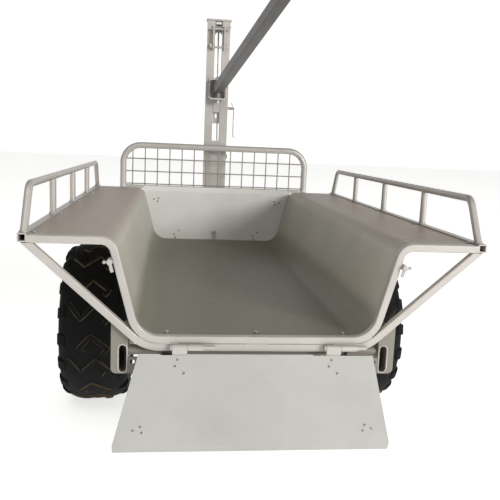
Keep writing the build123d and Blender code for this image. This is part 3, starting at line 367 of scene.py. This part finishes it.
leaf_rivets = ((-0.0057, 0.030), (-0.0114, 0.047), (0.0114, 0.066))
corner_rivets = ((-0.010, 0.227), (0.013, 0.221), (-0.006, 0.211))
leaf_x, corner_x = 0.201, 0.3038
pivot_to_sheet, head_gap = 0.0095, 0.0005
# +1 where the gate stands above its hinge at rest, -1 where it hangs below
for gate, joint, direction in (("tailgate", "tailgate_hinge", -1),
                               ("front_gate", "front_gate_hinge", 1)):
    pivot = np.array(joint_at[joint]["pos_m"])
    face_y = pivot[1] - pivot_to_sheet - head_gap
    caps = []
    for side in (-1, 1):
        spots = [(side * leaf_x + across, rise) for across, rise in leaf_rivets]
        spots += [(side * (corner_x + across), rise) for across, rise in corner_rivets]
        for spot_x, rise in spots:
            caps.append(rivet_cap(np.array((spot_x, face_y, pivot[2] + direction * rise))))
    points, faces = joined(caps)
    heads = shape("rivet_heads_" + gate, points, faces, dark_steel, 60.0)
    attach(heads, gate)

# ==== chassis, axle, mast, winch frame and parking leg ========================================
# Rolled hollow section and plate, welded up and sprayed with the frame.
# What hangs under the bed is painted darker than the frame, as painted shade.
# darker enamel stands in for the shade under and behind the bed
chassis_shaded_enamel = enamel("chassis enamel painted darker in shade", "#7f7a70", "#6f685c", 0.6, 0.5, 0.1)
wear(chassis_shaded_enamel, "rear_sockets", "rear_cross_tube", "chassis_rails", "cross_members",
     "axle_beam", "leg_bracket")
wear(frame_enamel, "drawbar_tube", "mast_uprights", "mast_post", "mast_cap", "mast_base",
     "parking_leg", "winch_frame", "sheave_cage", "carriage_bracket", "carriage_keeper")

# ==== jib and hook ============================================================================
# The jib is the same kind of tube in dark primer, with paler dust and a painted reflection on its
# upper face. The hook is forged steel with its scale left on.
jib_primer = enamel("dark jib primer", "#6b6967", "#84807a", 0.5, 0.42, 0.3)
wear(jib_primer, "jib_arm")
forged = enamel("forged hook scale", "#4a4a49", "#5a554e", 0.3, 0.6, 0.5)
wear(forged, "jib_hook")

# ==== wheels ==================================================================================
# Low-pressure flotation tyres: a rounded moulded rubber casing with raised lugs in two
# alternating shapes, and blocks down each shoulder. They sit on pressed steel rims.
rubber, tree, shader, place, dirt, _ = mottled(
    "moulded tyre rubber", 22.0, 6.0, "#060708", "#0d0d0c", 0.42, 0.75, 0.7)
dulling = add(tree, "ShaderNodeMapRange", {"Value": dirt, "To Min": 0.7, "To Max": 0.95})
tree.links.new(dulling.outputs["Result"], shader.inputs["Roughness"])
skin = add(tree, "ShaderNodeTexNoise", {"Vector": place, "Scale": 420.0, "Detail": 2.0})
pebble = add(tree, "ShaderNodeBump", {
    "Height": skin.outputs["Fac"], "Strength": 0.3, "Distance": 0.0006})
tree.links.new(pebble.outputs["Normal"], shader.inputs["Normal"])
shader.inputs["Specular IOR Level"].default_value = 0.25

# brown dust that stays on the steep flanks of the lugs
flank_dust, _, shader, _, _, _ = mottled(
    "dusty lug flank rubber", 30.0, 5.0, "#201c15", "#4f4431", 0.30, 0.52, 0.7)
shader.inputs["Roughness"].default_value = 0.95

tyre_radius = 0.290
half_width = 0.1170
swell = 0.095
squareness = 3.45
rim_seat = 0.152
lug_height = 0.0075


def casing_radius(across):
    """Radius of the casing at a distance from the tyre's middle.

    The crown is a superellipse: r = base + swell (1 - (x / half width)^n)^(1 / n).
    """
    share = np.clip(np.abs(across) / half_width, 0.0, 1.0) ** squareness
    return tyre_radius - lug_height - swell + swell * (1 - share) ** (1 / squareness)


def on_casing(angle, across, rise):
    """Points at a wheel angle and a distance across, raised above the casing."""
    radius = casing_radius(across) + rise
    return np.stack([across, radius * np.cos(angle), radius * np.sin(angle)], axis=-1)


def lug(path, width, angle, turned):
    """One lug: a stroke of even width along a bent line, standing on the casing.

    The line is cut into short steps. Across each step stand four points: foot, top, top, foot, with
    the foot 4 mm wider than the top on each side. Ends are closed by a quad each.
    """
    line = np.array(path) * 0.001
    steps = [np.linspace(a, b, 5)[:-1] for a, b in zip(line[:-1], line[1:])]
    line_points = np.concatenate(steps + [line[-1:]])
    heading = np.gradient(line_points, axis=0)
    heading /= np.linalg.norm(heading, axis=1, keepdims=True)
    side = np.stack([-heading[:, 1], heading[:, 0]], axis=1)
    offsets = np.array([-0.5, -0.5, 0.5, 0.5]) * width + np.array([-0.004, 0, 0, 0.004])
    rises = np.array([-0.002, lug_height - 0.0005, lug_height - 0.0005, -0.002])
    spots = line_points[:, None, :] + side[:, None, :] * offsets[None, :, None]
    across = spots[..., 0] * turned
    angles = angle + spots[..., 1] / tyre_radius
    points = on_casing(angles, across, rises[None, :]).reshape(-1, 3)
    rows = len(line_points)
    faces = grid_faces(rows, 4, False, True)
    ends = np.array([[3, 2, 1, 0], [4 * rows - 4, 4 * rows - 3, 4 * rows - 2, 4 * rows - 1]])
    faces = np.concatenate([faces, ends])
    return points, faces if turned > 0 else faces[:, ::-1]


def casing_line(turn):
    """Distance across and radius on the casing's superellipse.

    The parameter t runs from 0 at the side to a quarter turn at the crown: across is the half
    width times cos(t)^(2 / n), and the radius is base + swell sin(t)^(2 / n).
    """
    across = half_width * np.cos(turn) ** (2 / squareness)
    radius = tyre_radius - lug_height - swell + swell * np.sin(turn) ** (2 / squareness)
    return np.stack([across, radius], axis=-1)


def shoulder_block(angle, side, length):
    """One shoulder block: a low brick that follows the casing line round the shoulder.

    Its top stands along the line's outward normal, found from the line's own steps.
    """
    rise = np.array([0.0030, 0.0060, 0.0080, 0.0085, 0.0075, 0.0050, 0.0005])
    line = casing_line(np.linspace(0.92, 0.28, len(rise)))
    step = np.gradient(line, axis=0)
    normal = np.stack([-step[:, 1], step[:, 0]], axis=1)
    normal /= np.linalg.norm(normal, axis=1, keepdims=True)
    top = line + normal * rise[:, None]
    foot = line - normal * 0.002
    angles = angle + np.array([-1.1, -0.92, 0.92, 1.1]) * length / 2 / tyre_radius
    section = np.stack([foot, top, top, foot], axis=1)
    across, radius = section[..., 0] * side, section[..., 1]
    points = np.stack([across, radius * np.cos(angles), radius * np.sin(angles)], axis=-1)
    last = 4 * len(rise) - 4
    ends = [[3, 2, 1, 0], [last, last + 1, last + 2, last + 3]]
    faces = np.concatenate([grid_faces(len(rise), 4, False, True), ends])
    return points.reshape(-1, 3), faces if side > 0 else faces[:, ::-1]


# the middle lines of the two lugs, across and round the tyre, in millimetres
hooked_arch = [(22, 38), (42, 24), (2, -21), (-54, 24), (-37, 42)]
slanted_zed = [(80, -36), (37, 23), (-14, -33), (-57, 10), (-40, 38)]


def casing(around=96):
    """The casing: a closed outline of half-width against radius, carried round the axle.

    The crown follows the superellipse to its widest point. The side wall runs in to the bead,
    and the outline returns along the liner about 12 mm inside.
    """
    crown = casing_line(np.linspace(0.02, np.pi / 2, 22))
    wall = np.array([(0.100, rim_seat), (0.101, 0.166), (0.105, 0.169), (0.111, 0.176),
                     (0.1155, 0.183)])
    half = np.concatenate([wall, crown])
    mirror_half = (half * np.array([-1.0, 1.0]))[:-1]
    outer = np.concatenate([mirror_half, half[::-1]])
    inner = np.array([(0.088, rim_seat), (0.090, 0.172), (0.104, 0.190), (0.107, 0.215),
                      (0.096, 0.250), (0.060, 0.266), (0, 0.268)])
    liner = np.concatenate([inner, (inner * np.array([-1.0, 1.0]))[-2::-1]])
    outline = np.concatenate([outer, liner])
    angles = np.linspace(0, 2 * np.pi, around + 1)[:-1]
    radius = outline[None, :, 1]
    points = np.stack([np.broadcast_to(outline[None, :, 0], (around, len(outline))),
                       radius * np.cos(angles)[:, None], radius * np.sin(angles)[:, None]], axis=-1)
    return points.reshape(-1, 3), grid_faces(around, len(outline), True, True)


lug_rows = 18
lug_width = 0.012
block_length = 0.042
dusty_reach = 0.081
for side, body, turned in (("right", "right_wheel", 1), ("left", "left_wheel", -1)):
    low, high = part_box("tyre_" + side)
    hub_centre = np.array((low + high) / 2)
    parts = [casing()]
    for row in range(lug_rows):
        angle = row * 2 * np.pi / lug_rows
        stroke = hooked_arch if row % 2 else slanted_zed
        parts.append(lug(stroke, lug_width, angle, turned))
        for wall_side in (-1, 1):
            block_angle = angle + (0.5 if wall_side > 0 else 0.0) * 2 * np.pi / lug_rows
            parts.append(shoulder_block(block_angle, wall_side, block_length))
    points, faces = joined(parts)
    tyre = shape("lugged_tyre_" + side, points + hub_centre, faces, rubber, 40.0)
    tyre.data.materials.append(flank_dust)
    first_lug_face = len(parts[0][1])
    centres = points[faces].mean(axis=1)
    normals = np.cross(points[faces[:, 2]] - points[faces[:, 0]],
                       points[faces[:, 3]] - points[faces[:, 1]])
    normals /= np.linalg.norm(normals, axis=1, keepdims=True) + 1e-12
    outward = centres * np.array([0.0, 1.0, 1.0])
    outward /= np.linalg.norm(outward, axis=1, keepdims=True)
    steep = np.abs((normals * outward).sum(axis=1)) < 0.75
    on_lug = np.arange(len(faces)) >= first_lug_face
    flank = steep & (np.abs(centres[:, 0]) < dusty_reach) & on_lug
    tyre.data.polygons.foreach_set("material_index", flank.astype(np.int32))
    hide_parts("tyre_" + side)
    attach(tyre, body)

rim_enamel = enamel("white rim enamel", "#d6d6d4", "#b9b2a6", 0.3, 0.34, 0.1)
wear(rim_enamel, "rim_right", "rim_left")

# ==== hoist rope ==============================================================================
# Six-strand 6 mm wire rope. It leaves the drum, runs up the front of the mast and over the
# roller, and drops to the carriage, whose height sets the length of the last run. The turns
# on the drum are plain bar.
wire, _, shader, _, _, _ = mottled("galvanised wire rope", 600.0, 2.0, "#6f7070", "#a9aaa8")
shader.inputs["Metallic"].default_value = 0.85
shader.inputs["Roughness"].default_value = 0.42


def tube_along(path, radius, sides=10):
    """A round bar along a path: a ring of points at each path point, in the plane across it.

    Each ring's axes come from the direction of travel and its cross product with a fixed vector
    that the path hardly runs along. The number of sides is even, so that each end closes with a
    fan of quads.
    """
    path = np.asarray(path, float)
    travel = np.gradient(path, axis=0)
    travel /= np.linalg.norm(travel, axis=1, keepdims=True)
    spread = path.max(axis=0) - path.min(axis=0)
    fixed = np.eye(3)[np.argmin(spread)]
    first = np.cross(travel, fixed)
    first /= np.linalg.norm(first, axis=1, keepdims=True)
    second = np.cross(travel, first)
    turns = np.linspace(0, 2 * np.pi, sides + 1)[:-1]
    cosine, sine = np.cos(turns)[None, :, None], np.sin(turns)[None, :, None]
    points = path[:, None] + (first[:, None] * cosine + second[:, None] * sine) * radius
    around = np.arange(1, sides - 1, 2)
    first_end = np.stack([around * 0, around, around + 1, around + 2], axis=1) % sides
    last_end = first_end[:, ::-1] + (len(path) - 1) * sides
    faces = np.concatenate([grid_faces(len(path), sides, False, True), first_end, last_end])
    return points, faces


def stranded(path, radius, lay=0.040):
    """Six strands laid round a path: each strand's centre turns about it once every lay length."""
    path = np.asarray(path, float)
    lay_radius, strand_radius = radius * 0.60, radius * 0.38
    centres, _ = tube_along(path, lay_radius, 6)
    travelled = np.concatenate([[0], np.cumsum(np.linalg.norm(np.diff(path, axis=0), axis=1))])
    travel = np.gradient(path, axis=0)
    travel /= np.linalg.norm(travel, axis=1, keepdims=True)
    first = (centres[:, 0] - path) / lay_radius
    second = np.cross(travel, first)
    parts = []
    for strand in range(6):
        turn = travelled / lay * 2 * np.pi + strand * np.pi / 3
        offset = first * np.cos(turn)[:, None] + second * np.sin(turn)[:, None]
        points, faces = tube_along(path + offset * radius * 0.60, strand_radius, 6)
        parts.append((points.reshape(-1, 3), faces))
    return joined(parts)


roller_low, roller_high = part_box("sheave")
roller = (roller_low + roller_high) / 2
drop_low, drop_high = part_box("hoist_rope_drop")
rope_radius = (drop_high.x - drop_low.x) / 2
wrap = roller.y - (drop_low.y + drop_high.y) / 2
drum_axis = Vector(joint_at["drum_turn"]["pos_m"])
coil_low, coil_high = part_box("hoist_rope_coil")
beside_coil, before_coil = 0.005, 0.0004
foot_y = drum_axis.y - (coil_high.z - coil_low.z) / 2 + rope_radius - before_coil
rope_foot = np.array((coil_high.x + beside_coil, foot_y, drum_axis.z))
rope_top = np.array((0.0, roller.y + wrap, roller.z))
run = rope_foot + (rope_top - rope_foot) * np.linspace(0, 1, 330)[:, None]
bend = np.linspace(0, np.pi, 40)[1:]
over = np.stack([np.zeros(len(bend)), roller.y + wrap * np.cos(bend),
                 roller.z + wrap * np.sin(bend)], axis=1)
points, faces = stranded(np.concatenate([run, over]), rope_radius)
front_rope = shape("wire_rope_front", points, faces, wire, 60.0)
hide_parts("hoist_rope_front")
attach(front_rope, "cart")

drop_z = np.linspace(drop_high.z, drop_low.z, 100)[:, None]
drop = np.array((0.0, roller.y - wrap, 0.0)) + drop_z * np.array((0.0, 0.0, 1.0))
points, faces = stranded(drop, rope_radius)
drop_rope = shape("wire_rope_drop", points, faces, wire, 60.0)
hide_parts("hoist_rope_drop")
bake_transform(drop_rope)

coil_radius = (coil_high.z - coil_low.z) / 2 - rope_radius
coil_turns = (coil_high.x - coil_low.x - 2 * rope_radius) / (2 * rope_radius)
coil_angle = np.linspace(0, coil_turns * 2 * np.pi, int(coil_turns * 36)) - np.pi / 2
coil_x = np.linspace(coil_low.x + rope_radius, coil_high.x - rope_radius, len(coil_angle))
coil = np.stack([coil_x, drum_axis.y + coil_radius * np.sin(coil_angle),
                 drum_axis.z + coil_radius * np.cos(coil_angle)], axis=1)
points, faces = tube_along(coil, rope_radius * 0.97, 8)
coil_rope = shape("wire_rope_coil", points.reshape(-1, 3), faces, wire, 60.0)
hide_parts("hoist_rope_coil")
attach(coil_rope, "drum")

# ==== crank grip ==============================================================================
# Black moulded plastic sleeve on the crank's pin, with a fine grain from its mould. It is the
# CAD node's own shape with a plastic finish.
plastic, tree, shader, _, mould, _ = mottled(
    "black moulded plastic", 260.0, 3.0, "#141414", "#232323")
shader.inputs["Roughness"].default_value = 0.55
skin = add(tree, "ShaderNodeBump", {"Height": mould, "Strength": 0.2, "Distance": 0.0004})
tree.links.new(skin.outputs["Normal"], shader.inputs["Normal"])
wear(plastic, "winch_grip")

# ==== welds ===================================================================================
# Arc-welded fillets, painted over with the frame. Each bead is a low ridge with a ripple every
# 3 mm, run round the foot of a post, round a socket's mouth or along a seam.
def bead(path, radius):
    """A weld bead: a round bar along a path whose radius swells and shrinks with a 3 mm ripple."""
    path = np.asarray(path, float)
    travelled = np.concatenate([[0], np.cumsum(np.linalg.norm(np.diff(path, axis=0), axis=1))])
    points, faces = tube_along(path, 1.0, 6)
    swell = radius * (1 + 0.16 * np.sin(travelled / 0.0032 * 2 * np.pi))
    points = path[:, None] + (points - path[:, None]) * swell[:, None, None]
    return points.reshape(-1, 3), faces


def ring_round(centre, radius, normal_axis):
    """Points of a circle about one of the main axes."""
    turns = np.linspace(0, 2 * np.pi, 60)
    one, two = [axis for axis in range(3) if axis != normal_axis]
    points = np.tile(np.asarray(centre, float), (60, 1))
    points[:, one] += radius * np.cos(turns)
    points[:, two] += radius * np.sin(turns)
    return points


side_tube_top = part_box("side_tubes")[1].z
rail_low, rail_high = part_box("side_rail_right")
rail_x = (rail_low.x + rail_high.x) / 2
post_inset, post_ring, thin_bead = 0.0105, 0.0103, 0.0022
parts = []
for mirror_x in (-1, 1):
    for post_y in np.linspace(rail_low.y + post_inset, rail_high.y - post_inset, 5):
        foot = (mirror_x * rail_x, post_y, side_tube_top + 0.0005)
        parts.append(bead(ring_round(foot, post_ring, 2), thin_bead))
frame_low, frame_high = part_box("rear_end_frame")
front_low, front_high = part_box("front_end_frame")
seam_bead, corner_bead = 0.0024, 0.0042
for low_y, high_y in ((frame_low.y, frame_high.y), (front_low.y, front_high.y)):
    for face_y in (low_y + 0.001, high_y - 0.001):
        for start, end in ((-0.262, -0.205), (-0.03, 0.03), (0.205, 0.262)):
            seam = np.array([[start, face_y, frame_low.z], [end, face_y, frame_low.z]])
            path = seam[0] + (seam[1] - seam[0]) * np.linspace(0, 1, 40)[:, None]
            parts.append(bead(path, seam_bead))
corner_bend = 0.085
bend_start = 0.252
corner_inset = 0.0046
for face_y in (frame_low.y + corner_inset, front_high.y - corner_inset):
    for share_x in (0.268, 0.284, 0.299):
        reach_x = np.linspace(share_x - 0.0065, share_x + 0.0065, 14)
        rise = corner_bend - np.sqrt(corner_bend ** 2 - (reach_x - bend_start) ** 2)
        for mirror_x in (-1, 1):
            blob = np.stack([mirror_x * reach_x, np.full(14, face_y), frame_low.z + rise], axis=1)
            parts.append(bead(blob, corner_bead))
lip_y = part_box("rear_sockets")[0].y + 0.0005
socket_x, socket_z = 0.347, 0.4025
socket_turn = np.linspace(0, 2 * np.pi, 120)
oval_x = 0.0115 * np.cos(socket_turn)
oval_z = 0.0115 * np.sin(socket_turn) + 0.0262 * np.tanh(6 * np.sin(socket_turn))
for mirror_x in (-1, 1):
    lip = np.stack([mirror_x * (socket_x + oval_x), np.full(120, lip_y), socket_z + oval_z], axis=1)
    parts.append(bead(lip, thin_bead))
points, faces = joined(parts)
welds = shape("weld_beads", points, faces, frame_enamel, 60.0)
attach(welds, "cart")
